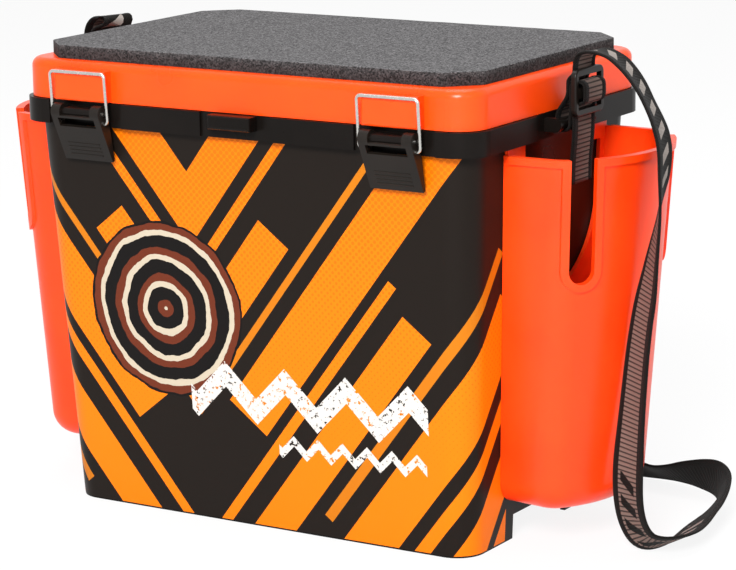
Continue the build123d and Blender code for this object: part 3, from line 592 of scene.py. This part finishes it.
# %% Ripples and zigzags of the print
RIPPLE_PLACE, RIPPLE_R, RIPPLE_MM = (-58, 122, 0), 54.0, 15.0
RINGS = [(RIPPLE_MM, "#0e0b0a"), (7.5, "#5e2816"), (3.2, "#b3a793")]
RAGGED_MM, RAGGED_BY, CHIP_MM, CHIPPED, SKIN_MM = 18, 5.0, 3.0, 0.4, 1.2
ragged = mottle(tree, sheet_mm, RAGGED_MM, detail=3.0, dimensions="2D")
to_middle = {0: sheet_mm, 1: RIPPLE_PLACE}
far = add(tree, "ShaderNodeVectorMath", to_middle, operation="DISTANCE").outputs["Value"]
ripple = reckon(tree, "MULTIPLY_ADD", ragged, RAGGED_BY, far)
pool = reckon(tree, "LESS_THAN", ripple, RIPPLE_R)
ring_run = reckon(tree, "MODULO", ripple, RIPPLE_MM)
for width, colour in RINGS:
    ring = reckon(tree, "LESS_THAN", ring_run, width)
    mask = reckon(tree, "MULTIPLY", ring, pool)
    ink = mixed(tree, mask, ink, linear(colour))

chips = mottle(tree, sheet_mm, CHIP_MM, detail=4.0, roughness=0.7, dimensions="2D")
whole = reckon(tree, "GREATER_THAN", chips, CHIPPED)
ZIGZAGS = [(78.0, 7.5, 20.0, 34.0, 78.0), (50.0, 3.0, 8.0, 62.0, 48.0)]
for height, half_line, tooth, middle_x, reach in ZIGZAGS:
    teeth = reckon(tree, "PINGPONG", sheet_x, tooth)
    level_line = reckon(tree, "SUBTRACT", sheet_y, teeth)
    stroke = reckon(tree, "COMPARE", level_line, height - tooth / 2, half_line)
    span = reckon(tree, "COMPARE", sheet_x, middle_x, reach)
    mask = reckon(tree, "MULTIPLY", stroke, span)
    mask = reckon(tree, "MULTIPLY", mask, whole)
    ink = mixed(tree, mask, ink, linear("#c6c3be"))
tree.links.new(ink, shader.inputs["Base Color"])
skin = mottle(tree, sheet_mm, SKIN_MM, detail=2.0)
emboss(tree, shader, skin, strength=0.25, deep_mm=GRAIN_DEEP_MM)
gloss = rescaled(tree, ragged, least=0.38, most=0.5)
tree.links.new(gloss, shader.inputs["Roughness"])
shader.inputs["Specular IOR Level"].default_value = 0.12
dress(["printed_front_film"], print_film)

# %% [markdown]
# A studio sweep is white and evenly lit. The floor could be lit until it is white, but then the box would
# be too bright as well, so camera and mirror rays see a floor that is mostly plain white, and the rest of
# it takes the light and keeps the box's soft shadow. The world does the same and gives an even base of
# light, and three soft lamps shape the box: one by the camera, a weak one to the right and one above.

# %% Floor
floor_mesh = bpy.data.meshes.new("floor")
REACH = 9.0
floor_corners = [(-REACH, -REACH, 0), (REACH, -REACH, 0), (REACH, REACH, 0), (-REACH, REACH, 0)]
floor_mesh.from_pydata(floor_corners, [], [(0, 1, 2, 3)])
floor = bpy.data.objects.new("floor", floor_mesh)
bpy.context.scene.collection.objects.link(floor)
paper, tree, shader = start_material("white_paper_sweep")
shader.inputs["Base Color"].default_value = linear("#f4f4f4")
shader.inputs["Roughness"].default_value = 0.9
shader.inputs["Specular IOR Level"].default_value = 0.0
WHITE_SHARE = 0.88


def seen_rays(tree):
    """1 for camera, mirror and glass rays, 0 for the rays that carry light."""
    rays = add(tree, "ShaderNodeLightPath", {}).outputs
    seen = reckon(tree, "MAXIMUM", rays["Is Camera Ray"], rays["Is Glossy Ray"])
    return reckon(tree, "MAXIMUM", seen, rays["Is Transmission Ray"])


share = reckon(tree, "MULTIPLY", seen_rays(tree), WHITE_SHARE)
white = add(tree, "ShaderNodeEmission", {"Color": (1, 1, 1, 1), "Strength": 1.0}).outputs[0]
sweep = add(tree, "ShaderNodeMixShader", {0: share, 1: shader.outputs[0], 2: white}).outputs[0]
tree.links.new(sweep, tree.nodes["Material Output"].inputs["Surface"])
floor_mesh.materials.append(paper)

# %% World and lamps
AMBIENT = 0.45
world = bpy.data.worlds.new("studio")
world.use_nodes = True
bpy.context.scene.world = world
tree = world.node_tree
strength = rescaled(tree, seen_rays(tree), least=AMBIENT, most=1.0)
sky = tree.nodes["Background"]
sky.inputs["Color"].default_value = (1, 1, 1, 1)
tree.links.new(strength, sky.inputs["Strength"])

LAMP_AIM = Vector((0, 0, 0.13))
LAMPS = [
    ("key", (0.9, -2.4, 1.6), 0.9, 115),
    ("fill", (2.2, -1.1, 1.3), 0.5, 4),
    ("top", (-0.2, 0.3, 2.4), 1.8, 28),
]
for name, place, size, watts in LAMPS:
    lamp = bpy.data.lights.new(name, "AREA")
    lamp.shape = "DISK"
    lamp.size = size
    lamp.energy = watts
    holder = bpy.data.objects.new(name, lamp)
    holder.location = place
    holder.rotation_euler = (LAMP_AIM - Vector(place)).to_track_quat("-Z", "Y").to_euler()
    bpy.context.scene.collection.objects.link(holder)
bpy.context.scene.view_settings.view_transform = "Standard"
print("lamps:", [name for name, _, _, _ in LAMPS])
